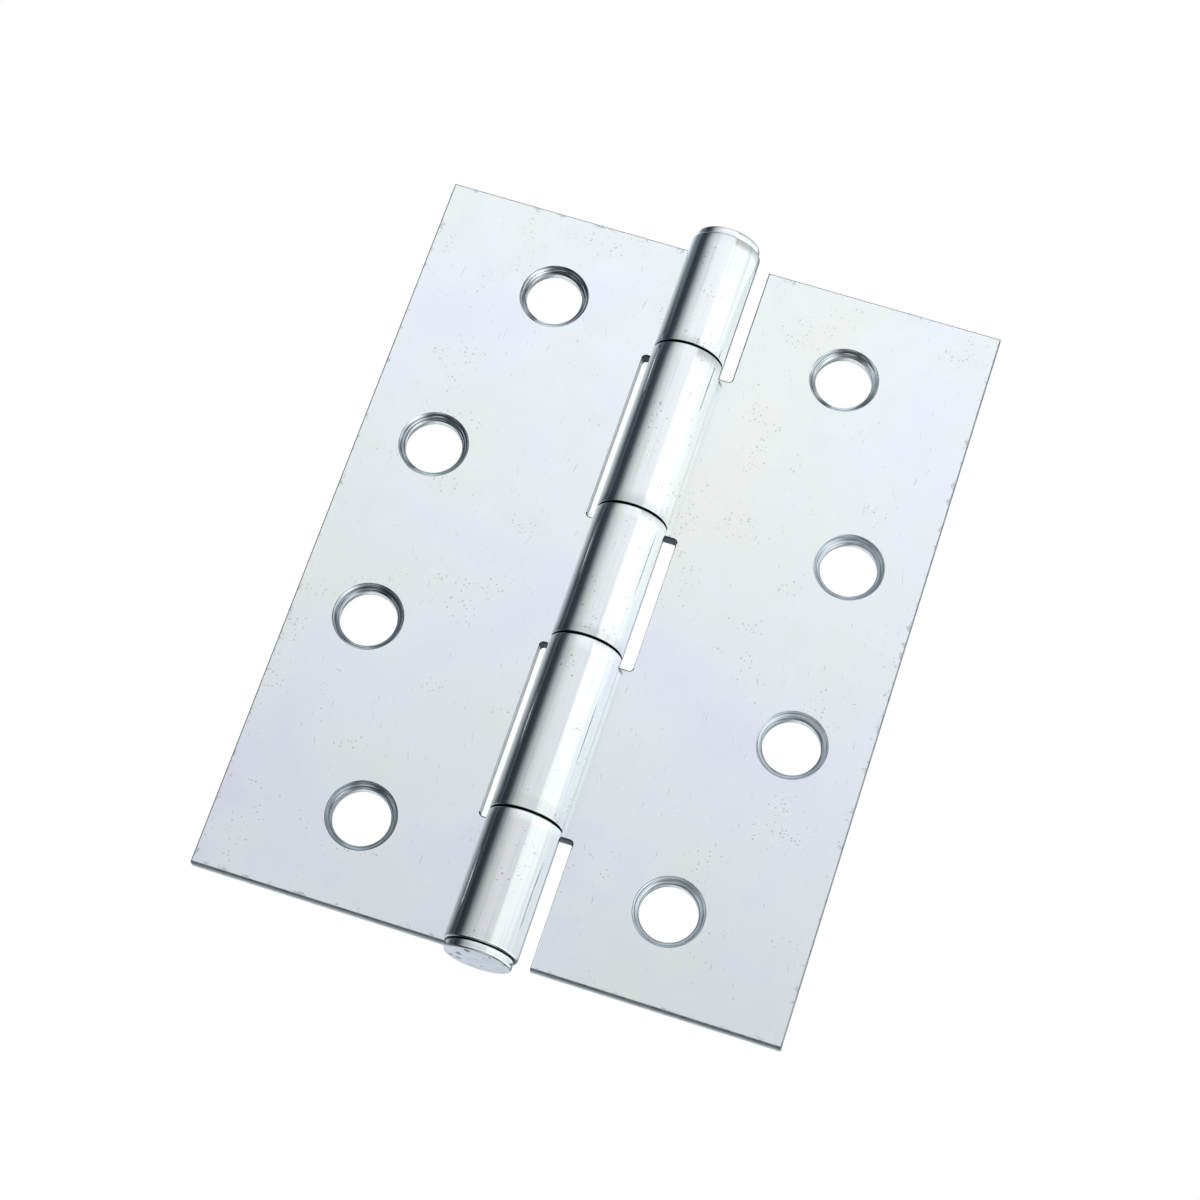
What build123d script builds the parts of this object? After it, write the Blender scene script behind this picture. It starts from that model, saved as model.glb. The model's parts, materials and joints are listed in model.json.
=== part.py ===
from build123d import *
import os
from math import sqrt

# Steel butt hinge with a loose pin, lying open with both leaves in one plane.
# The pin stands along Z with its head at the top, and the origin is on the pin axis half way up
# the leaves. The countersunk faces look along -Y. The frame leaf, with three knuckles, is on the
# +X side and the door leaf, with two, on the -X side. All sizes are millimetres.

# Leaves
leaf_length = 100.0
open_width = 76.0
sheet = 2.0
notch_reach = 6.1           # from the pin axis to the bottom of a notch
notch_corner = 0.5

# Barrel
barrel_diameter = 9.5
knuckle_gap = 0.4           # free space between two knuckles
centre_seam = 9.3           # middle of the inner two gaps, above and below the centre
end_seam = 33.2             # middle of the outer two gaps
knuckle_edge = 0.25         # rounding of a knuckle where it meets its neighbour
head_overhang = 0.5         # the top knuckle stands this far past the end of its leaf
barrel_end_edge = 0.3       # rounding at the two ends of the barrel
curl_lip_gap = 0.15         # the rolled edge stops this far above its own leaf

# Screw holes
hole_diameter = 7.4
countersink_diameter = 9.2
countersink_angle = 90.0
hole_pitch = 25.3           # between neighbouring holes, along the leaf
middle_hole_margin = 9.9    # from the free edge of the leaf to the two middle holes
end_hole_margin = 18.0      # from the free edge to the two end holes

# Pin and tip
pin_clearance = 0.05        # radial, pin in its bore
button_diameter = 8.7
button_height = 1.35
button_crown = 0.2          # rise of the domed face above its rim
button_flat = 1.0           # radius of the flat middle of that face
button_rim = 0.3            # rounding of the outer rim
button_foot = 0.2           # rounding where the button sits on the barrel
seat_gap = 0.05             # under the head of the loose pin
tip_stem_length = 6.0
stem_lead = 0.5
pin_nose = 1.0
pin_end_gap = 0.5           # between the pin and the stem of the tip

half_length = leaf_length / 2
half_width = open_width / 2
barrel_radius = barrel_diameter / 2
bore_radius = barrel_radius - sheet
pin_radius = bore_radius - pin_clearance
button_radius = button_diameter / 2
half_gap = knuckle_gap / 2
barrel_top = half_length + head_overhang
barrel_bottom = -half_length

# The sheet is tangent to the back of the barrel, so its face is one bore radius behind the axis.
face_plane = Plane.XZ.offset(-bore_radius)

# Stretches of the barrel, bottom to top, that belong to each leaf
frame_spans = [
    (barrel_bottom, -end_seam - half_gap),
    (-centre_seam + half_gap, centre_seam - half_gap),
    (end_seam + half_gap, barrel_top),
]
door_spans = [
    (-end_seam + half_gap, -centre_seam - half_gap),
    (centre_seam + half_gap, end_seam - half_gap),
]

# The rolled edge comes round from the back and ends just above the face of its own leaf.
lip_depth = bore_radius - curl_lip_gap
lip_x = sqrt(barrel_radius**2 - lip_depth**2)
lip_angle = Vector(0, 1, 0).get_angle(Vector(lip_x, lip_depth, 0))
curl_sweep = 360 - lip_angle


def blank_outline(side, spans):
    """Flat outline of one leaf on its countersunk face, with a notch between its knuckles."""
    bounds = [-half_length] + [z for span in spans for z in span] + [half_length]
    notches = [pair for pair in zip(bounds[::2], bounds[1::2]) if pair[1] > pair[0]]
    with BuildSketch(face_plane) as blank:
        with Locations((side * half_width / 2, 0)):
            Rectangle(half_width, leaf_length)
        for low, high in notches:
            with Locations((side * notch_reach / 2, (low + high) / 2)):
                Rectangle(notch_reach, high - low, mode=Mode.SUBTRACT)
        inner_corners = [
            corner
            for corner in blank.vertices()
            if abs(abs(corner.X) - notch_reach) < 0.01 and abs(corner.Y) < half_length - 0.01
        ]
        fillet(inner_corners, notch_corner)
    return blank.sketch


def curl_section(side, height):
    """Cross-section of the rolled part of a knuckle, open where the lip stops."""
    with BuildSketch(Plane.XY.offset(height)) as section:
        with BuildLine():
            outer = CenterArc((0, 0), barrel_radius, 90, side * curl_sweep)
            inner = CenterArc((0, 0), bore_radius, 90, side * curl_sweep)
            Line(outer @ 0, inner @ 0)
            Line(outer @ 1, inner @ 1)
        make_face()
    return section.sketch


def end_rounding(side, height, direction, radius):
    """What a rounding takes off the outer edge of a knuckle end, turned round the whole curl."""
    start = Plane(origin=(0, 0, height), x_dir=(0, 1, 0), z_dir=(1, 0, 0))
    corner = (barrel_radius, 0)
    with BuildPart() as cutter:
        with BuildSketch(start):
            with BuildLine():
                foot = (barrel_radius, -direction * radius)
                top = (barrel_radius - radius, 0)
                bulge = radius * (1 - sqrt(0.5))
                ThreePointArc(foot, (barrel_radius - bulge, -direction * bulge), top)
                Line(top, corner)
                Line(corner, foot)
            make_face()
        revolve(axis=Axis.Z, revolution_arc=side * curl_sweep)
    return cutter.part


def hole_places(side):
    """Two end holes near the barrel and two middle holes near the free edge."""
    end_x = side * (half_width - end_hole_margin)
    middle_x = side * (half_width - middle_hole_margin)
    end_z = 1.5 * hole_pitch
    middle_z = 0.5 * hole_pitch
    return [(end_x, end_z), (middle_x, middle_z), (middle_x, -middle_z), (end_x, -end_z)]


def button_profile(seat, direction, shank_radius, shank_end, nose):
    """Half section of a button with its shank, to be turned about the pin axis."""
    rim = seat + direction * (button_height - button_crown)
    crown = seat + direction * button_height
    with BuildSketch(Plane.XZ) as profile:
        with BuildLine():
            Polyline(
                (0, shank_end),
                (shank_radius - nose, shank_end),
                (shank_radius, shank_end + direction * nose),
                (shank_radius, seat),
                (button_radius, seat),
                (button_radius, rim),
            )
            dome = TangentArc((button_flat, crown), (button_radius, rim), tangent=(1, 0))
            Polyline(dome @ 0, (0, crown), (0, shank_end))
        make_face()
        fillet(profile.vertices().sort_by_distance((button_radius, seat))[0], button_foot)
        fillet(profile.vertices().sort_by_distance((button_radius, rim))[0], button_rim)
    return profile.sketch


with BuildPart() as frame_leaf:
    extrude(blank_outline(1, frame_spans), amount=-sheet)
    for low, high in frame_spans:
        extrude(curl_section(1, low), amount=high - low)
    with Locations(face_plane):
        with Locations(*hole_places(1)):
            CounterSinkHole(hole_diameter / 2, countersink_diameter / 2, sheet, countersink_angle)
    for low, high in frame_spans:
        low_edge = barrel_end_edge if low == barrel_bottom else knuckle_edge
        high_edge = barrel_end_edge if high == barrel_top else knuckle_edge
        add(end_rounding(1, low, -1, low_edge), mode=Mode.SUBTRACT)
        add(end_rounding(1, high, 1, high_edge), mode=Mode.SUBTRACT)

with BuildPart() as door_leaf:
    extrude(blank_outline(-1, door_spans), amount=-sheet)
    for low, high in door_spans:
        extrude(curl_section(-1, low), amount=high - low)
    with Locations(face_plane):
        with Locations(*hole_places(-1)):
            CounterSinkHole(hole_diameter / 2, countersink_diameter / 2, sheet, countersink_angle)
    for low, high in door_spans:
        add(end_rounding(-1, low, -1, knuckle_edge), mode=Mode.SUBTRACT)
        add(end_rounding(-1, high, 1, knuckle_edge), mode=Mode.SUBTRACT)

# The loose pin hangs on its head in the top knuckle and stops short of the tip.
pin_low = barrel_bottom + tip_stem_length + pin_end_gap
with BuildPart() as hinge_pin:
    add(button_profile(barrel_top + seat_gap, 1, pin_radius, pin_low, pin_nose))
    revolve(axis=Axis.Z)

# The tip closes the bottom knuckle: its stem is a press fit in the bore.
with BuildPart() as bottom_tip:
    add(button_profile(barrel_bottom, -1, bore_radius, barrel_bottom + tip_stem_length, stem_lead))
    revolve(axis=Axis.Z)

os.makedirs("parts", exist_ok=True)
for name, piece in {
    "frame_leaf": frame_leaf,
    "door_leaf": door_leaf,
    "hinge_pin": hinge_pin,
    "bottom_tip": bottom_tip,
}.items():
    piece.part.label = name
    export_step(piece.part, f"parts/{name}.step")
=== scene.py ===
import json
import math
import random

import bmesh
import bpy
from mathutils import Matrix, Vector, noise


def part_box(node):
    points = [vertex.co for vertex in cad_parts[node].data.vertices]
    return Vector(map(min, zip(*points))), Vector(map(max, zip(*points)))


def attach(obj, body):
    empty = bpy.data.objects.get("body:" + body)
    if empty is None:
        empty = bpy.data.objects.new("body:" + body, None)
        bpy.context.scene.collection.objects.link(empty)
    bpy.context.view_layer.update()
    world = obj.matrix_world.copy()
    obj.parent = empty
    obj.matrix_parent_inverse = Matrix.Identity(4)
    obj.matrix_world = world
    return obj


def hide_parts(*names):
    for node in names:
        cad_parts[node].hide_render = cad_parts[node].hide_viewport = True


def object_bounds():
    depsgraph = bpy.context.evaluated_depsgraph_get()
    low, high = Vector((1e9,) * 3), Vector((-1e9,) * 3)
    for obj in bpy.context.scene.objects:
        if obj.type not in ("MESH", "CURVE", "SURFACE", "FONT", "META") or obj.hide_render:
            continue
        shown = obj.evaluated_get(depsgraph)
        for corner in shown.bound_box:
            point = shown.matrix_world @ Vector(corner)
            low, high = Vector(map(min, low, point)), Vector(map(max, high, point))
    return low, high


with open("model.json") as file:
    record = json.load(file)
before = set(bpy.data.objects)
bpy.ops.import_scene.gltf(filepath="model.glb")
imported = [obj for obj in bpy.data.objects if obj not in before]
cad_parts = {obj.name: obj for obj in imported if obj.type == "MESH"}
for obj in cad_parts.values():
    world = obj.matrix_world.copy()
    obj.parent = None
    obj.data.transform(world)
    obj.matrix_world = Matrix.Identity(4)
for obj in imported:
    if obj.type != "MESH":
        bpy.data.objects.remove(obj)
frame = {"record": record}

cad_low, cad_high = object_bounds()


# Camera: a long lens in front of the countersunk faces and a little above, rolled nearly upside
# down, so that the pin's head comes lowest. It is given by where it aims on the hinge, how far
# off it stands, and its roll.

MM = 0.001
AIM = Vector((0.404, 0.0, 2.519)) * MM
CAMERA_DISTANCE = 394.55 * MM
CAMERA_AZIMUTH = math.radians(-7.338)
CAMERA_ELEVATION = math.radians(20.818)
CAMERA_ROLL = math.radians(160.629)
LENS_MM = 93.71
NEAREST_SEEN = 10 * MM

towards_camera = Vector((
    math.sin(CAMERA_AZIMUTH) * math.cos(CAMERA_ELEVATION),
    -math.cos(CAMERA_AZIMUTH) * math.cos(CAMERA_ELEVATION),
    math.sin(CAMERA_ELEVATION),
))
camera_data = bpy.data.cameras.new("camera")
camera_data.lens = LENS_MM
camera_data.clip_start = NEAREST_SEEN
camera = bpy.data.objects.new("camera", camera_data)
camera.location = AIM + towards_camera * CAMERA_DISTANCE
level = (-towards_camera).to_track_quat("-Z", "Y").to_matrix()
camera.rotation_euler = (level @ Matrix.Rotation(-CAMERA_ROLL, 3, "Z")).to_euler()
bpy.context.scene.collection.objects.link(camera)
bpy.context.scene.camera = camera
bpy.context.scene.view_settings.view_transform = "Standard"


# Studio: a white floor in a light tent. The tent is bright cloth on the door side, a little less
# bright in front, and open and dark beyond the frame leaf, which the barrel shows as a dark band.
# Low on the door side its hem hangs in shade, so that the leaves keep their colour from there.

def linear(code, alpha=1.0):
    """An sRGB hex colour as linear RGBA."""
    channels = [int(code[i:i + 2], 16) / 255 for i in (1, 3, 5)]
    return [c / 12.92 if c <= 0.04045 else ((c + 0.055) / 1.055) ** 2.4 for c in channels] + [alpha]


def add(tree, kind, links=None, stops=None, **settings):
    """Adds one node with its links or values by socket, and a colour ramp's stops.

    Sockets that share a name go by number: 6 and 7 are the two colours of a Mix node.
    """
    node = tree.nodes.new(kind)
    for name, value in settings.items():
        setattr(node, name, value)
    for socket, value in (links or {}).items():
        if isinstance(value, bpy.types.NodeSocket):
            tree.links.new(value, node.inputs[socket])
        else:
            node.inputs[socket].default_value = value
    if stops:
        elements = node.color_ramp.elements
        while len(elements) < len(stops):
            elements.new(0.5)
        for element, (place, colour) in zip(elements, sorted(stops, key=lambda stop: stop[0])):
            element.position = place
            element.color = colour if hasattr(colour, "__len__") else (colour, colour, colour, 1)
    return node


TENT_STRENGTH = 1.3
HEM_SHADE = 0.45
HEM_TOP, HEM_FOOT = -0.40, -0.56        # height, where straight down is -1 and level is 0
HEM_START, HEM_FULL = 22, 32            # bearings between which the shade comes in

world = bpy.data.worlds.new("light_tent")
bpy.context.scene.world = world
world.use_nodes = True
tree = world.node_tree
tree.nodes.clear()
direction = add(tree, "ShaderNodeTexCoord").outputs["Generated"]
part = add(tree, "ShaderNodeSeparateXYZ", {0: direction}).outputs
sideways = add(tree, "ShaderNodeMath", {0: part["X"], 1: -1.0}, operation="MULTIPLY").outputs[0]
forward = add(tree, "ShaderNodeMath", {0: part["Y"], 1: -1.0}, operation="MULTIPLY").outputs[0]
bearing = add(tree, "ShaderNodeMath", {0: sideways, 1: forward}, operation="ARCTAN2").outputs[0]
turn = add(tree, "ShaderNodeMapRange", {
    "Value": bearing, "From Min": -math.pi, "From Max": math.pi,
}).outputs[0]


def at(degrees):
    """Where a bearing lies on the ramp round the room: 0 is the front, 90 the door side."""
    return (degrees + 180) / 360


# The cloth's colour round the room, by bearing, and its brightness by height.
FRONT, DOOR_SIDE, BEHIND = "#dadbde", "#fbfdfe", "#c8cfd3"
CLOTH = [
    (-180, BEHIND), (-150, "#c8d1d4"), (-135, "#a6b0b4"), (-114, "#5f696f"), (-101, "#535c63"),
    (-90, "#2b3036"), (-80, "#2f353c"), (-72, "#363c43"), (-65, "#5d6266"), (-57, "#8b8f91"),
    (-49, "#a9acad"), (-40, "#bcbebf"), (-30, "#cbcdce"), (-20, "#d5d7d8"), (-12, FRONT),
    (22, "#dcdee0"), (30, DOOR_SIDE), (84, DOOR_SIDE), (92, "#dfe9eb"), (100, DOOR_SIDE),
    (132, "#eef5f7"), (148, "#b4bcc0"), (164, "#5a6265"), (180, BEHIND),
]
HEIGHTS = [
    (-1.0, 0.60), (-0.948, 0.60), (-0.93, 0.90), (-0.886, 1.8), (-0.80, 0.90), (-0.60, 1.15),
    (-0.46, 1.22), (-0.40, 1.13), (-0.33, 1.02), (-0.25, 0.86), (0.0, 0.85), (0.25, 1.15),
    (0.45, 1.10), (0.60, 0.80), (0.82, 0.10), (0.90, 0.12), (0.93, 0.50), (1.0, 0.80),
]
around = add(tree, "ShaderNodeValToRGB", {0: turn}, stops=[(at(a), linear(code)) for a, code in CLOTH])
height = add(tree, "ShaderNodeMapRange", {
    "Value": part["Z"], "From Min": -1.0, "From Max": 1.0,
}).outputs[0]
up_down = add(tree, "ShaderNodeValToRGB", {0: height}, stops=[((z + 1) / 2, v) for z, v in HEIGHTS])
both = add(tree, "ShaderNodeMix", {
    0: 1.0, 6: around.outputs[0], 7: up_down.outputs[0],
}, data_type="RGBA", blend_type="MULTIPLY").outputs[2]
low = add(tree, "ShaderNodeMapRange", {
    "Value": part["Z"], "From Min": HEM_TOP, "From Max": HEM_FOOT,
}).outputs[0]
on_door_side = add(tree, "ShaderNodeMapRange", {
    "Value": bearing, "From Min": math.radians(HEM_START), "From Max": math.radians(HEM_FULL),
}).outputs[0]
shaded = add(tree, "ShaderNodeMath", {0: low, 1: on_door_side}, operation="MULTIPLY").outputs[0]
brightness = add(tree, "ShaderNodeMapRange", {
    "Value": shaded, "To Min": TENT_STRENGTH, "To Max": TENT_STRENGTH * HEM_SHADE,
}).outputs[0]
tent = add(tree, "ShaderNodeBackground", {"Color": both, "Strength": brightness})
add(tree, "ShaderNodeOutputWorld", {"Surface": tent.outputs[0]})

# Floor and backdrop in one: the white foot of a dome just below the hinge. It glows evenly and
# is kept out of the metal's reflections, which come from the tent alone.
FLOOR_GAP = 4 * MM
ROOM_RADIUS = 2.4

floor_mesh = bpy.data.meshes.new("floor")
floor_form = bmesh.new()
bmesh.ops.create_icosphere(floor_form, subdivisions=5, radius=ROOM_RADIUS)
floor_level = cad_low.z - FLOOR_GAP
for vert in floor_form.verts:
    vert.co.z = max(vert.co.z, floor_level)
floor_form.to_mesh(floor_mesh)
floor_form.free()
white = bpy.data.materials.new("plain_white_floor")
white.use_nodes = True
white.node_tree.nodes.clear()
glow = add(white.node_tree, "ShaderNodeEmission", {"Color": linear("#ffffff"), "Strength": 1.0})
add(white.node_tree, "ShaderNodeOutputMaterial", {"Surface": glow.outputs[0]})
floor_mesh.materials.append(white)
floor = bpy.data.objects.new("floor", floor_mesh)
bpy.context.scene.collection.objects.link(floor)
floor.visible_glossy = False
floor.visible_diffuse = False
floor.visible_shadow = False


# Leaves: two blanks punched from 2 mm cold-rolled strip, countersunk, their tabs rolled into
# knuckles, and then bright zinc plated. The frame leaf has three knuckles and the door leaf two.

leaf_low, leaf_high = (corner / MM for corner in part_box("frame_leaf"))
HALF_WIDTH = leaf_high.x
HALF_LENGTH = -leaf_low.z
BARREL_TOP = leaf_high.z
BARREL_RADIUS = leaf_high.y
SHEET = 2.0
BORE_RADIUS = BARREL_RADIUS - SHEET
NOTCH_REACH = 6.1           # from the pin axis to the bottom of a notch
NOTCH_CORNER = 0.5
KNUCKLE_GAP = 0.3           # free space between two knuckles
CENTRE_SEAM = 9.3           # middle of the inner two gaps, above and below the centre
END_SEAM = 33.2             # middle of the outer two gaps
DIE_ROLL = 0.16             # rounding of the blank's outline on its countersunk face
BURR_EDGE = 0.08            # and on its back
KNUCKLE_EDGE = 0.15         # rounding of a knuckle where it meets its neighbour
BARREL_END_EDGE = 0.3       # and at the two ends of the barrel
CURL_LIP_GAP = 0.15         # the rolled edge stops this far above its own leaf
END_LEVEL = 0.5             # the top knuckle's end runs level this far from the axis,
END_SWELL = 1.5             # and by here has sloped down to the end of its leaf

half_gap = KNUCKLE_GAP / 2
frame_spans = [
    (-HALF_LENGTH, -END_SEAM - half_gap),
    (-CENTRE_SEAM + half_gap, CENTRE_SEAM - half_gap),
    (END_SEAM + half_gap, BARREL_TOP),
]
door_spans = [
    (-END_SEAM + half_gap, -CENTRE_SEAM - half_gap),
    (CENTRE_SEAM + half_gap, END_SEAM - half_gap),
]
lip_depth = BORE_RADIUS - CURL_LIP_GAP
curl_end = 2 * math.pi - math.acos(lip_depth / BARREL_RADIUS)


def edge_profile(face_round, back_round):
    """Section of a sheared edge, face to back, as (distance in, depth below the face)."""
    steps = 4
    quarter = [math.pi / 2 * i / steps for i in range(steps + 1)]
    face = [(face_round * (1 - math.sin(a)), face_round * (1 - math.cos(a))) for a in quarter]
    back = [(back_round * (1 - math.cos(a)), SHEET - back_round * (1 - math.sin(a))) for a in quarter]
    return face + back


def notch_corner(u, z, turn_z, ends):
    """The rounded inner corner of a notch, walked away from the barrel ("out") or towards it."""
    steps = 6
    arc = []
    for i in range(steps + 1):
        a = math.pi / 2 * i / steps
        arc.append((
            u - NOTCH_CORNER * (1 - math.sin(a)),
            z + turn_z * NOTCH_CORNER * (1 - math.cos(a)),
        ))
    return arc if ends == "out" else arc[::-1]


def wall_paths(spans):
    """Runs of the blank's edge between knuckles, as (distance from the pin axis, z) points."""
    paths = []
    for (_, high), (low, _) in zip(spans, spans[1:]):
        paths.append(
            [(0.0, high)]
            + notch_corner(NOTCH_REACH, high, 1, "out")
            + notch_corner(NOTCH_REACH, low, -1, "in")
            + [(0.0, low)]
        )
    outer = [(0.0, spans[-1][1])]
    if spans[-1][1] < HALF_LENGTH:
        outer += notch_corner(NOTCH_REACH, spans[-1][1], 1, "out") + [(NOTCH_REACH, HALF_LENGTH)]
    else:
        outer += [(END_LEVEL, spans[-1][1]), (END_SWELL, HALF_LENGTH)]
    outer += [(HALF_WIDTH, HALF_LENGTH), (HALF_WIDTH, -HALF_LENGTH)]
    if spans[0][0] > -HALF_LENGTH:
        outer += [(NOTCH_REACH, -HALF_LENGTH)] + notch_corner(NOTCH_REACH, spans[0][0], -1, "in")
    outer += [(0.0, spans[0][0])]
    paths.append(outer)
    return paths


MITRE_LIMIT = 0.3


def outward(path):
    """Mitred outward directions at the points of a wall path."""
    normals = []
    for before, after in zip(path, path[1:]):
        run = Vector((after[0] - before[0], after[1] - before[1])).normalized()
        normals.append(Vector((-run.y, run.x)))
    mitres = []
    for i in range(len(path)):
        one = normals[max(i - 1, 0)]
        other = normals[min(i, len(normals) - 1)]
        mitre = (one + other).normalized()
        mitres.append(mitre / max(mitre.dot(one), MITRE_LIMIT))
    return mitres


CREASE_ANGLE = math.radians(40)


def finished_piece(name, form):
    """The form as an object: creases stay crisp, and flat faces keep a flat shine to their rims."""
    bmesh.ops.recalc_face_normals(form, faces=form.faces)
    for edge in form.edges:
        flat = any(not made.smooth for made in edge.link_faces)
        edge.smooth = not flat and edge.calc_face_angle(0) < CREASE_ANGLE
    mesh = bpy.data.meshes.new(name)
    form.to_mesh(mesh)
    form.free()
    piece = bpy.data.objects.new(name, mesh)
    bpy.context.scene.collection.objects.link(piece)
    return piece


# Screw holes: a straight punched wall behind a cone that a countersink has cut, with the rings
# its cutting edge leaves. Marks and ripple are drawn afresh for each ring.
HOLE_RADIUS = 3.7
COUNTERSINK_RADIUS = 4.56
RIM_BREAK = [(0.05, 0.0), (0.02, 0.012)]                # (outside the cone, depth)
RIM_DEPTH = 0.03
BACK_BREAK = [(0.0, 0.1), (0.03, 0.03), (0.1, 0.0)]     # (outside the wall, above the back)
CONE_ROWS = 16
HOLE_STEPS = 96
TOOL_RIPPLE = 0.014
RIM_MARK, WALL_MARK = 0.8, 0.9
MARK_SWING = 0.9                                        # how much a mark varies round its ring
MARK_WAVES = 2
chance = random.Random(7)


def hole_section():
    """Section of a screw hole, face to back, as (radius, depth, brightness of the tool mark)."""
    cone_depth = COUNTERSINK_RADIUS - HOLE_RADIUS
    section = [(COUNTERSINK_RADIUS + out, depth, RIM_MARK) for out, depth in RIM_BREAK]
    for i in range(CONE_ROWS + 1):
        share = i / CONE_ROWS
        ripple = chance.uniform(-TOOL_RIPPLE, TOOL_RIPPLE)
        section.append((
            COUNTERSINK_RADIUS - cone_depth * share + ripple,
            RIM_DEPTH + cone_depth * share,
            chance.random(),
        ))
    return section + [(HOLE_RADIUS + out, SHEET - above, WALL_MARK) for out, above in BACK_BREAK]


FACE, KNUCKLE, SHEARED, KNUCKLE_END, TURNED, LAND = range(6)
BARREL_SLICES = 12
CURL_STEP = math.radians(3)
EDGE_BLEND = math.radians(30)


def rolled_leaf(name, side, spans, holes, veils):
    """One leaf as a single closed skin: the blank's edge, knuckles and holes, then both faces."""
    form = bmesh.new()
    marks = form.verts.layers.float.new("tool_marks")
    veil = form.verts.layers.float.new("plating_veil")

    def vert(u, y, z):
        return form.verts.new((side * u * MM, y * MM, z * MM))

    def face(corners, material, smooth=True):
        made = form.faces.new(corners if side < 0 else corners[::-1])
        made.material_index = material
        made.smooth = smooth
        return made

    # The blank's edge, from one knuckle round to the next
    profile = edge_profile(DIE_ROLL, BURR_EDGE)
    last = len(profile) - 1
    face_loop = []
    back_loop = []
    ends = {}
    for path in wall_paths(spans):
        directions = outward(path)
        rows = [
            [vert(u - d.x * inset, BORE_RADIUS + depth, z - d.y * inset) for inset, depth in profile]
            for (u, z), d in zip(path, directions)
        ]
        for i, (row, after) in enumerate(zip(rows, rows[1:])):
            reach = max(path[i][0], path[i + 1][0])
            in_notch = reach <= NOTCH_REACH and abs(path[i][1]) < HALF_LENGTH
            along_pin = abs(path[i + 1][1] - path[i][1]) > NOTCH_CORNER
            # Notch ends and knuckle ends get the knuckle-end material, which is painted shade.
            finish = (LAND if along_pin else KNUCKLE_END) if in_notch else SHEARED
            for k in range(last):
                face([row[k], row[k + 1], after[k + 1], after[k]], finish)
            face_loop.append((row[0], after[0]))
            back_loop.append((row[last], after[last]))
        ends[path[0][1]] = rows[0]
        ends[path[-1][1]] = rows[-1]

    # The knuckles: each starts as a section of the sheet at the pin axis and is rolled round the
    # bore. The rounding of its ends grows from the blank's edge to the knuckle's own.
    for low, high in spans:
        slices = [low + (high - low) * i / BARREL_SLICES for i in range(1, BARREL_SLICES)]
        bore_line = [vert(0, BORE_RADIUS, z) for z in slices]
        back_line = [vert(0, BARREL_RADIUS, z) for z in slices]
        low_row, high_row = ends[low], ends[high]
        bore_chain = [low_row[0]] + bore_line + [high_row[0]]
        back_chain = [low_row[last]] + back_line + [high_row[last]]
        face_loop += list(zip(bore_chain, bore_chain[1:]))
        back_loop += list(zip(back_chain, back_chain[1:]))
        ring = bore_chain + high_row[1:last] + back_chain[::-1] + low_row[1:last][::-1]
        chain = len(bore_chain)
        high_end = range(chain + 2, chain + last - 4)
        low_end = range(2 * chain + last + 1, len(ring))
        low_edge = BARREL_END_EDGE if low == -HALF_LENGTH else KNUCKLE_EDGE
        high_edge = BARREL_END_EDGE if high == BARREL_TOP else KNUCKLE_EDGE
        steps = round(curl_end / CURL_STEP)
        for step in range(1, steps + 1):
            angle = curl_end * step / steps
            share = min(1.0, angle / EDGE_BLEND)
            blend = share * share * (3 - 2 * share)
            low_profile = edge_profile(DIE_ROLL, BURR_EDGE + (low_edge - BURR_EDGE) * blend)
            high_profile = edge_profile(DIE_ROLL, BURR_EDGE + (high_edge - BURR_EDGE) * blend)
            low_places = [(depth, low + inset) for inset, depth in low_profile]
            high_places = [(depth, high - inset) for inset, depth in high_profile]
            places = (
                low_places[:1] + [(0.0, z) for z in slices]
                + high_places + [(SHEET, z) for z in slices[::-1]]
                + low_places[:0:-1]
            )
            after = [
                vert(
                    -(BORE_RADIUS + depth) * math.sin(angle),
                    (BORE_RADIUS + depth) * math.cos(angle),
                    z,
                )
                for depth, z in places
            ]
            for i in range(len(ring)):
                j = (i + 1) % len(ring)
                # The knuckle's rounded ends get the same painted shade.
                finish = KNUCKLE_END if i in high_end or i in low_end else KNUCKLE
                face([ring[i], after[i], after[j], ring[j]], finish)
            ring = after
        face(ring, KNUCKLE_END, smooth=False)

    # The screw holes, ring by ring from the face to the back
    for (hole_u, hole_z), hole_veil in zip(holes, veils):
        section = hole_section()
        land_start = len(section) - len(BACK_BREAK)
        rings = []
        for radius, depth, mark in section:
            wander = chance.uniform(0, 100)
            ring = []
            for i in range(HOLE_STEPS):
                angle = 2 * math.pi * i / HOLE_STEPS
                swing = noise.noise((
                    MARK_WAVES * math.cos(angle) + wander,
                    MARK_WAVES * math.sin(angle),
                    wander,
                ))
                ring.append(vert(
                    hole_u + radius * math.cos(angle),
                    BORE_RADIUS + depth,
                    hole_z + radius * math.sin(angle),
                ))
                ring[-1][marks] = min(1.0, max(0.0, mark + MARK_SWING * swing))
                ring[-1][veil] = hole_veil
            rings.append(ring)
        for row, (ring, after) in enumerate(zip(rings, rings[1:]), 1):
            for i in range(HOLE_STEPS):
                j = (i + 1) % HOLE_STEPS
                finish = LAND if row >= land_start else TURNED
                face([ring[i], ring[j], after[j], after[i]], finish)
        face_loop += [(rings[0][i], rings[0][(i + 1) % HOLE_STEPS]) for i in range(HOLE_STEPS)]
        back_loop += [(rings[-1][i], rings[-1][(i + 1) % HOLE_STEPS]) for i in range(HOLE_STEPS)]

    # The two flat faces, filled between the outline and the holes
    for loop, normal in ((face_loop, (0, -1, 0)), (back_loop, (0, 1, 0))):
        edges = [form.edges.get(pair) or form.edges.new(pair) for pair in loop]
        filled = bmesh.ops.triangle_fill(form, edges=edges, use_beauty=True, normal=normal)
        for made in filled["geom"]:
            if isinstance(made, bmesh.types.BMFace):
                made.material_index = FACE
                made.smooth = False
    return finished_piece(name, form)


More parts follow.
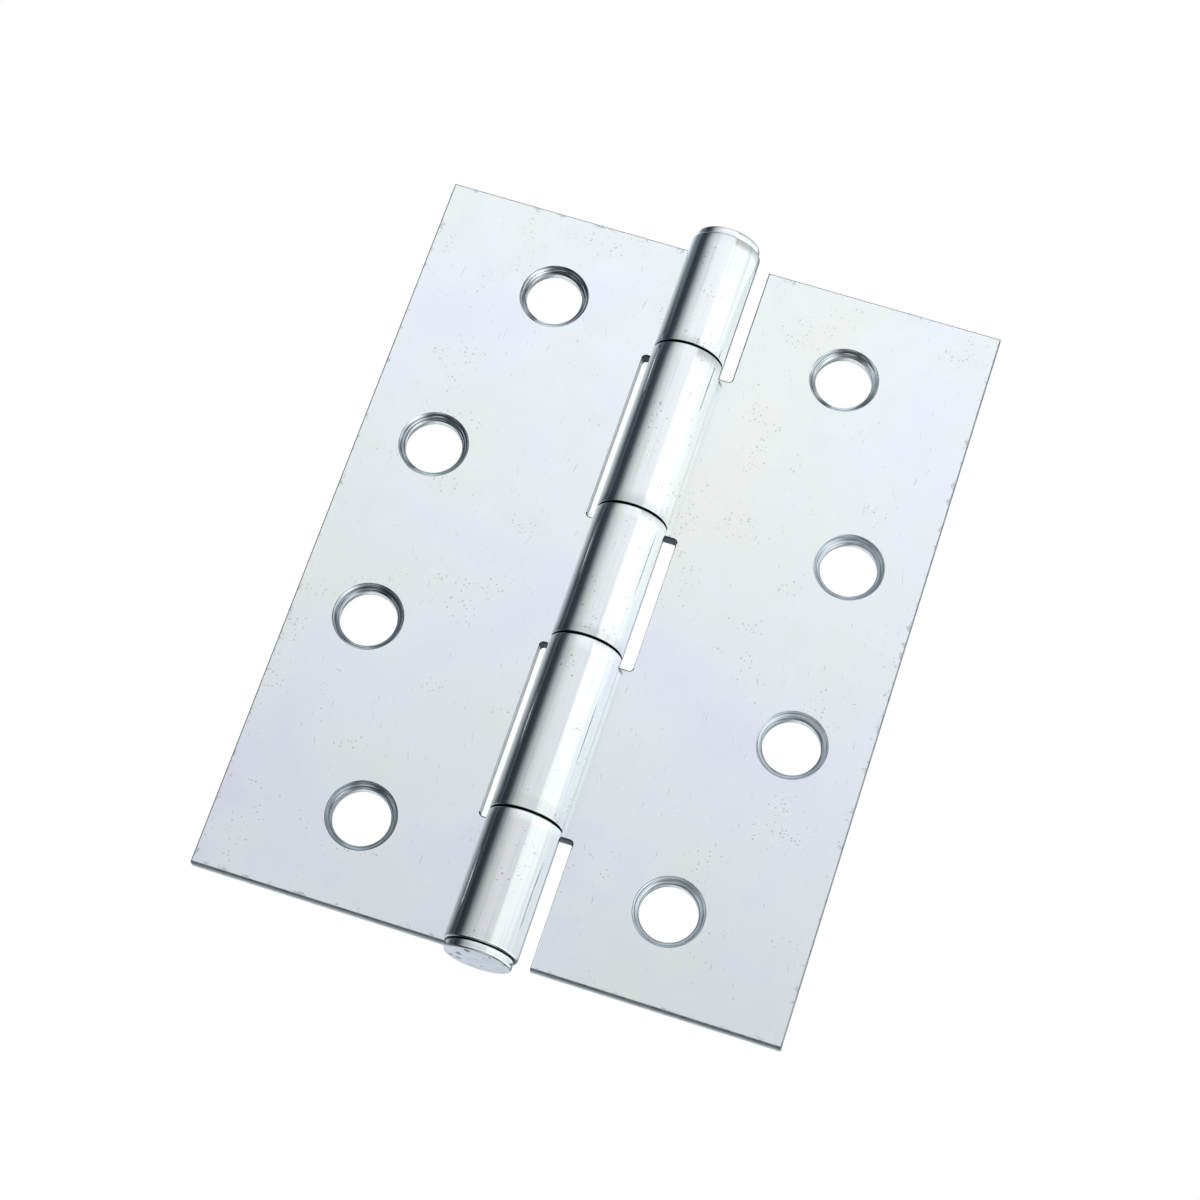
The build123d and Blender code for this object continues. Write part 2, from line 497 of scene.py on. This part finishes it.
def screw_holes(prefix):
    """Hole centres of one leaf, as (distance from the pin axis, z), from its screw patterns."""
    places = []
    for mount in frame["record"]["mounts"]:
        if mount["kind"] == "bolt_pattern" and mount["name"].startswith(prefix):
            reach = abs(mount["pos_m"][0]) / MM
            half = mount["dims"]["spacing_y_mm"] / 2
            places += [(reach, half), (reach, -half)]
    return places


def metal(name):
    """A new material with an empty node tree."""
    material = bpy.data.materials.new(name)
    material.use_nodes = True
    material.node_tree.nodes.clear()
    return material, material.node_tree


def millimetres(tree):
    """The place on the piece in millimetres, so that a scale of 1 / 25 makes patches of 25 mm."""
    place = add(tree, "ShaderNodeTexCoord").outputs["Object"]
    return add(tree, "ShaderNodeVectorMath", {0: place, "Scale": 1 / MM}, operation="SCALE").outputs[0]


def zinc_colour(tree, place):
    """The passivated zinc film: faint lavender, blue, green and cream, 25 and 8 mm across."""
    broad = add(tree, "ShaderNodeTexNoise", {"Vector": place, "Scale": 1 / 25, "Detail": 2.0}).outputs[0]
    small = add(tree, "ShaderNodeTexNoise", {"Vector": place, "Scale": 1 / 8, "Detail": 4.0}).outputs[0]
    film = add(tree, "ShaderNodeMath", {0: small, 1: 0.45, 2: broad}, operation="MULTIPLY_ADD").outputs[0]
    return add(tree, "ShaderNodeValToRGB", {0: film}, stops=[
        (0.48, linear("#e4e5f1")), (0.62, linear("#e5eaf1")), (0.72, linear("#e6ecef")),
        (0.82, linear("#e5eceb")), (0.95, linear("#e9ece8")),
    ]).outputs[0]


def faded(tree, amount, colour, under, strength):
    """Lays one colour over another where amount is 1, as strongly as strength says."""
    share = add(tree, "ShaderNodeMath", {0: amount, 1: strength}, operation="MULTIPLY").outputs[0]
    return add(tree, "ShaderNodeMix", {
        0: share, 6: under, 7: linear(colour),
    }, data_type="RGBA").outputs[2]


def specks(tree, place, spacing, size, cluster_size, share):
    """Pits and grit in clusters: 1 on a speck, 0 between. All but the share are millimetres.

    Specks are drawn two or three times as coarse as real ones, which would be too fine to show.
    """
    cells = add(tree, "ShaderNodeTexVoronoi", {"Vector": place, "Scale": 1 / spacing}).outputs
    weight = add(tree, "ShaderNodeSeparateColor", {0: cells["Color"]}).outputs[0]
    cluster = add(tree, "ShaderNodeTexNoise", {
        "Vector": place, "Scale": 1 / cluster_size, "Detail": 3.0, "Roughness": 0.65,
    }).outputs[0]
    reach = add(tree, "ShaderNodeMapRange", {
        "Value": cluster, "From Min": 1 - share, "From Max": 1.1 - share, "To Max": size / spacing / 2,
    }).outputs[0]
    grown = add(tree, "ShaderNodeMath", {0: reach, 1: weight}, operation="MULTIPLY").outputs[0]
    return add(tree, "ShaderNodeMath", {
        0: grown, 1: cells["Distance"],
    }, operation="GREATER_THAN").outputs[0]


def hairlines(tree, place, across, along, turn, level):
    """Short hair scratches that run one way: 1 on a scratch. across and along are millimetres.

    They are drawn several times as wide as a real hair scratch, which would be too fine to show,
    and bend by up to 6 mm over each 12 mm.
    """
    bent = add(tree, "ShaderNodeTexNoise", {"Vector": place, "Scale": 1 / 12}).outputs["Color"]
    bend = add(tree, "ShaderNodeVectorMath", {0: bent, "Scale": 6.0}, operation="SCALE").outputs[0]
    moved = add(tree, "ShaderNodeVectorMath", {0: bend, 1: place}, operation="ADD").outputs[0]
    lie = add(tree, "ShaderNodeMapping", {
        0: moved,
        "Rotation": (0, math.radians(turn), 0),
        "Scale": (1 / across, 1 / across, 1 / along),
    }).outputs[0]
    grain = add(tree, "ShaderNodeTexNoise", {"Vector": lie, "Scale": 1.0, "Detail": 1.0}).outputs[0]
    return add(tree, "ShaderNodeMapRange", {
        "Value": grain, "From Min": level, "From Max": level + 0.05,
    }).outputs[0]


def edge_nicks(tree, place):
    """Nicks and burrs within a millimetre of the leaf's outline: 1 on a nick."""
    part = add(tree, "ShaderNodeSeparateXYZ", {0: place}).outputs
    gaps = []
    for axis, half in (("X", HALF_WIDTH), ("Z", HALF_LENGTH)):
        size = add(tree, "ShaderNodeMath", {0: part[axis]}, operation="ABSOLUTE").outputs[0]
        gaps.append(add(tree, "ShaderNodeMath", {0: half, 1: size}, operation="SUBTRACT").outputs[0])
    gap = add(tree, "ShaderNodeMath", {0: gaps[0], 1: gaps[1]}, operation="MINIMUM").outputs[0]
    tear = add(tree, "ShaderNodeTexNoise", {
        "Vector": place, "Scale": 1 / 1.1, "Detail": 6.0, "Roughness": 0.7,
    }).outputs[0]
    worn = add(tree, "ShaderNodeMath", {0: gap, 1: -0.16, 2: tear}, operation="MULTIPLY_ADD").outputs[0]
    return add(tree, "ShaderNodeMapRange", {"Value": worn, "From Min": 0.50, "From Max": 0.56}).outputs[0]


# Bright zinc plate on cold-rolled strip, as it comes from the barrel plater: a satin shine that
# still mirrors the knuckles close by, faintly coloured, with grit marks and handling scratches.
zinc, tree = metal("bright_zinc_plated_steel")
place = millimetres(tree)
pits = specks(tree, place, spacing=0.5, size=0.34, cluster_size=8, share=0.48)
one_way = hairlines(tree, place, across=0.18, along=4.0, turn=35, level=0.735)
other_way = hairlines(tree, place, across=0.18, along=3.0, turn=-50, level=0.745)
scratches = add(tree, "ShaderNodeMath", {0: one_way, 1: other_way}, operation="MAXIMUM").outputs[0]
nicks = edge_nicks(tree, place)
colour = zinc_colour(tree, place)
colour = faded(tree, scratches, "#aab3ba", colour, strength=0.45)
colour = faded(tree, pits, "#a0a9af", colour, strength=0.38)
colour = faded(tree, nicks, "#a3abb1", colour, strength=0.6)
cloud = add(tree, "ShaderNodeTexNoise", {"Vector": place, "Scale": 1 / 4, "Detail": 5.0}).outputs[0]
roughness = add(tree, "ShaderNodeMapRange", {
    "Value": cloud, "From Min": 0.3, "From Max": 0.7, "To Min": 0.13, "To Max": 0.21,
}).outputs[0]
marks = add(tree, "ShaderNodeMath", {0: pits, 1: nicks}, operation="ADD").outputs[0]
relief = add(tree, "ShaderNodeMath", {0: marks, 1: -0.7, 2: cloud}, operation="MULTIPLY_ADD").outputs[0]
bump = add(tree, "ShaderNodeBump", {"Height": relief, "Strength": 0.3, "Distance": 0.01 * MM}).outputs[0]
shader = add(tree, "ShaderNodeBsdfPrincipled", {
    "Base Color": colour, "Metallic": 1.0, "Roughness": roughness, "Normal": bump,
})
add(tree, "ShaderNodeOutputMaterial", {"Surface": shader.outputs[0]})

# The same plate where the strip is rolled into a knuckle: the rolling die polishes it nearly to a
# mirror, draws fine lines along the barrel and presses grit into it. The lines are drawn 0.5 mm
# wide and 22 mm long, coarser than the die's own, which would be too fine to show.
rolled, tree = metal("die_polished_zinc_plated_steel")
place = millimetres(tree)
pits = specks(tree, place, spacing=0.45, size=0.32, cluster_size=4, share=0.50)
lines = add(tree, "ShaderNodeMapping", {0: place, "Scale": (1 / 0.5, 1 / 0.5, 1 / 22)}).outputs[0]
drawn = add(tree, "ShaderNodeTexNoise", {
    "Vector": lines, "Scale": 1.0, "Detail": 5.0, "Roughness": 0.6,
}).outputs[0]
colour = add(tree, "ShaderNodeValToRGB", {0: drawn}, stops=[
    (0.28, linear("#d2d8da")), (0.42, linear("#e4e8e9")),
    (0.60, linear("#e9ebec")), (0.75, linear("#dcdfe1")),
]).outputs[0]
colour = faded(tree, pits, "#858c91", colour, strength=0.5)
wave = add(tree, "ShaderNodeTexNoise", {"Vector": place, "Scale": 1 / 3.5, "Detail": 2.0}).outputs[0]
relief = add(tree, "ShaderNodeMath", {0: drawn, 1: 0.4, 2: wave}, operation="MULTIPLY_ADD").outputs[0]
relief = add(tree, "ShaderNodeMath", {0: pits, 1: -0.4, 2: relief}, operation="MULTIPLY_ADD").outputs[0]
bump = add(tree, "ShaderNodeBump", {"Height": relief, "Strength": 0.35, "Distance": 0.02 * MM}).outputs[0]
roughness = add(tree, "ShaderNodeMapRange", {
    "Value": drawn, "From Min": 0.3, "From Max": 0.7, "To Min": 0.07, "To Max": 0.13,
}).outputs[0]
shader = add(tree, "ShaderNodeBsdfPrincipled", {
    "Base Color": colour, "Metallic": 1.0, "Roughness": roughness, "Normal": bump,
})
add(tree, "ShaderNodeOutputMaterial", {"Surface": shader.outputs[0]})

# The sheared edge of the blank: dark where the punch drags the plate over, then paler torn steel.
sheared, tree = metal("sheared_plated_edge")
place = millimetres(tree)
depth = add(tree, "ShaderNodeSeparateXYZ", {0: place}).outputs["Y"]
tear = add(tree, "ShaderNodeTexNoise", {"Vector": place, "Scale": 1 / 0.8, "Detail": 4.0}).outputs[0]
through = add(tree, "ShaderNodeMapRange", {
    "Value": depth, "From Min": BORE_RADIUS, "From Max": BARREL_RADIUS,
}).outputs[0]
torn = add(tree, "ShaderNodeMath", {0: tear, 1: 0.35, 2: through}, operation="MULTIPLY_ADD").outputs[0]
colour = add(tree, "ShaderNodeValToRGB", {0: torn}, stops=[
    (0.20, linear("#9aa1a5")), (0.28, linear("#50565b")), (0.55, linear("#6d7376")),
    (0.80, linear("#a9afb2")), (1.0, linear("#dfe2e3")),
]).outputs[0]
bump = add(tree, "ShaderNodeBump", {"Height": tear, "Strength": 0.5, "Distance": 0.05 * MM}).outputs[0]
shader = add(tree, "ShaderNodeBsdfPrincipled", {
    "Base Color": colour, "Metallic": 1.0, "Roughness": 0.42, "Normal": bump,
})
add(tree, "ShaderNodeOutputMaterial", {"Surface": shader.outputs[0]})

# The sheared ends of the knuckles and of the notches beside them: painted shade, a dull dark slate that
# stands in for the shadow falling there.
knuckle_end_shade, tree = metal("knuckle_end_painted_shade")
place = millimetres(tree)
tear = add(tree, "ShaderNodeTexNoise", {"Vector": place, "Scale": 1 / 0.6, "Detail": 4.0}).outputs[0]
colour = add(tree, "ShaderNodeValToRGB", {0: tear}, stops=[
    (0.3, linear("#30373e")), (0.7, linear("#59616a")),
]).outputs[0]
shader = add(tree, "ShaderNodeBsdfPrincipled", {"Base Color": colour, "Metallic": 1.0, "Roughness": 0.45})
add(tree, "ShaderNodeOutputMaterial", {"Surface": shader.outputs[0]})

# The countersinks, cut before plating: rings left by the tool, some bright and some nearly black,
# which a thicker, cloudier film of zinc softens to blue-grey in some of the holes.
turned, tree = metal("turned_countersink")
ring_mark = add(tree, "ShaderNodeAttribute", attribute_name="tool_marks").outputs["Fac"]
veil = add(tree, "ShaderNodeAttribute", attribute_name="plating_veil").outputs["Fac"]
bare = add(tree, "ShaderNodeValToRGB", {0: ring_mark}, stops=[
    (0.10, linear("#5d666d")), (0.40, linear("#98a1a8")),
    (0.70, linear("#d3dade")), (1.0, linear("#f2f6f8")),
]).outputs[0]
cloudy = add(tree, "ShaderNodeValToRGB", {0: ring_mark}, stops=[
    (0.10, linear("#93a0ab")), (0.50, linear("#d3dce4")), (1.0, linear("#f5f9fc")),
]).outputs[0]
colour = add(tree, "ShaderNodeMix", {0: veil, 6: bare, 7: cloudy}, data_type="RGBA").outputs[2]
roughness = add(tree, "ShaderNodeMapRange", {"Value": veil, "To Min": 0.14, "To Max": 0.62}).outputs[0]
shader = add(tree, "ShaderNodeBsdfPrincipled", {
    "Base Color": colour, "Metallic": 1.0, "Roughness": roughness,
})
add(tree, "ShaderNodeOutputMaterial", {"Surface": shader.outputs[0]})

# The short straight wall behind each countersink, burnished bright by the punch.
land, tree = metal("punched_hole_wall")
place = millimetres(tree)
streaks = add(tree, "ShaderNodeTexNoise", {"Vector": place, "Scale": 1 / 0.5, "Detail": 2.0}).outputs[0]
colour = add(tree, "ShaderNodeValToRGB", {0: streaks}, stops=[
    (0.3, linear("#dfe4e7")), (0.7, linear("#ffffff")),
]).outputs[0]
shader = add(tree, "ShaderNodeBsdfPrincipled", {"Base Color": colour, "Metallic": 1.0, "Roughness": 0.3})
add(tree, "ShaderNodeOutputMaterial", {"Surface": shader.outputs[0]})

# How far the plating has clouded over the tool marks in each countersink: 0 is bare, 1 is even.
FRAME_VEILS = (0.40, 0.0, 0.25, 0.10)
DOOR_VEILS = (0.65, 0.12, 0.85, 0.80)

for name, body, side, spans, prefix, veils in (
    ("frame_leaf_plate", "frame", 1, frame_spans, "frame_", FRAME_VEILS),
    ("door_leaf_plate", "door", -1, door_spans, "door_", DOOR_VEILS),
):
    leaf = rolled_leaf(name, side, spans, screw_holes(prefix), veils)
    for material in (zinc, rolled, sheared, knuckle_end_shade, turned, land):
        leaf.data.materials.append(material)
    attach(leaf, body)
    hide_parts("frame_leaf" if body == "frame" else "door_leaf")


# Pin and tip: steel wire with a button struck cold on one end, bright zinc plated. The pin is
# loose and hangs on its button; the tip, with the same button, is pressed into the bottom knuckle.

BUTTON_RADIUS = 4.35
BUTTON_HEIGHT = 1.35
BUTTON_CROWN = 0.2          # rise of the domed face above its rim
BUTTON_RIM = 0.3            # rounding of the outer rim, which turns this far
RIM_TURN = 80
BUTTON_FOOT = 0.2           # rounding where the button sits on the barrel
DOME_RINGS = 16
TURN_STEPS = 128
PIN_CLEARANCE = 0.05
PIN_NOSE = 1.0
STEM_LEAD = 0.5


def rounded_edge(centre, radius, start, stop, steps=8):
    """Points of an arc in a turned section, from one angle to another in degrees."""
    points = []
    for i in range(steps + 1):
        a = math.radians(start + (stop - start) * i / steps)
        points.append((centre[0] + radius * math.cos(a), centre[1] + radius * math.sin(a)))
    return points


def button_section(shank_radius, shank_length, nose):
    """Half section of a button on its shank, as (radius, height above the seat)."""
    rim = BUTTON_HEIGHT - BUTTON_CROWN
    section = [(0.0, -shank_length), (shank_radius - nose, -shank_length)]
    section += [(shank_radius, nose - shank_length), (shank_radius, 0.0)]
    section += rounded_edge((BUTTON_RADIUS - BUTTON_FOOT, BUTTON_FOOT), BUTTON_FOOT, -90, 0)
    section += rounded_edge((BUTTON_RADIUS - BUTTON_RIM, rim - BUTTON_RIM), BUTTON_RIM, 0, RIM_TURN)
    rim_radius, rim_height = section[-1]
    rise = BUTTON_HEIGHT - rim_height
    for i in range(1, DOME_RINGS + 1):
        share = i / DOME_RINGS
        section.append((rim_radius * (1 - share), rim_height + rise * (1 - (1 - share) ** 2)))
    return section


def turned_piece(name, section, seat, up):
    """A section turned about the pin axis, from its seat up or down. Its ends are single points."""
    form = bmesh.new()
    rings = []
    for radius, height in section:
        z = (seat + up * height) * MM
        if radius == 0:
            rings.append([form.verts.new((0, 0, z))])
            continue
        rings.append([
            form.verts.new((
                radius * MM * math.cos(2 * math.pi * i / TURN_STEPS),
                radius * MM * math.sin(2 * math.pi * i / TURN_STEPS),
                z,
            ))
            for i in range(TURN_STEPS)
        ])
    for ring, after in zip(rings, rings[1:]):
        for i in range(TURN_STEPS):
            j = (i + 1) % TURN_STEPS
            corners = [
                ring[i % len(ring)], ring[j % len(ring)],
                after[j % len(after)], after[i % len(after)],
            ]
            made = form.faces.new(list(dict.fromkeys(corners)))
            made.smooth = True
    return finished_piece(name, form)


# Bright zinc plate on struck wire: a clean bright rim, and a grey-lavender domed face with the
# dents and dark grit of the blow that formed it.
struck, tree = metal("struck_zinc_plated_wire")
place = millimetres(tree)
normal = add(tree, "ShaderNodeTexCoord").outputs["Normal"]
axial = add(tree, "ShaderNodeSeparateXYZ", {0: normal}).outputs["Z"]
facing = add(tree, "ShaderNodeMath", {0: axial}, operation="ABSOLUTE").outputs[0]
on_face = add(tree, "ShaderNodeMapRange", {
    "Value": facing, "From Min": 0.75, "From Max": 0.95,
}).outputs[0]
rub = add(tree, "ShaderNodeTexNoise", {"Vector": place, "Scale": 1 / 1.5, "Detail": 4.0}).outputs[0]
rim_tone = add(tree, "ShaderNodeValToRGB", {0: rub}, stops=[
    (0.3, linear("#dfe4e6")), (0.7, linear("#f0f3f4")),
]).outputs[0]
face_tone = add(tree, "ShaderNodeValToRGB", {0: rub}, stops=[
    (0.30, linear("#cdced9")), (0.50, linear("#dadce5")), (0.70, linear("#dfe2e5")),
]).outputs[0]
colour = add(tree, "ShaderNodeMix", {
    0: on_face, 6: rim_tone, 7: face_tone,
}, data_type="RGBA").outputs[2]
blows = specks(tree, place, spacing=1.2, size=1.0, cluster_size=3, share=0.58)
dents = add(tree, "ShaderNodeMath", {0: blows, 1: on_face}, operation="MULTIPLY").outputs[0]
colour = faded(tree, dents, "#575a5c", colour, strength=0.8)
relief = add(tree, "ShaderNodeMath", {0: dents, 1: -1.0, 2: rub}, operation="MULTIPLY_ADD").outputs[0]
bump = add(tree, "ShaderNodeBump", {"Height": relief, "Strength": 0.5, "Distance": 0.03 * MM}).outputs[0]
roughness = add(tree, "ShaderNodeMapRange", {
    "Value": on_face, "To Min": 0.12, "To Max": 0.30,
}).outputs[0]
shader = add(tree, "ShaderNodeBsdfPrincipled", {
    "Base Color": colour, "Metallic": 1.0, "Roughness": roughness, "Normal": bump,
})
add(tree, "ShaderNodeOutputMaterial", {"Surface": shader.outputs[0]})

pin_low, pin_high = (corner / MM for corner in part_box("hinge_pin"))
tip_low, tip_high = (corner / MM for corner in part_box("bottom_tip"))
pin_seat = pin_high.z - BUTTON_HEIGHT
tip_seat = tip_low.z + BUTTON_HEIGHT
pin_section = button_section(BORE_RADIUS - PIN_CLEARANCE, pin_seat - pin_low.z, PIN_NOSE)
tip_section = button_section(BORE_RADIUS, tip_high.z - tip_seat, STEM_LEAD)
pin = turned_piece("loose_pin", pin_section, pin_seat, 1)
tip = turned_piece("pressed_tip", tip_section, tip_seat, -1)
for piece, body, node in ((pin, "pin", "hinge_pin"), (tip, "frame", "bottom_tip")):
    piece.data.materials.append(struck)
    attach(piece, body)
    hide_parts(node)
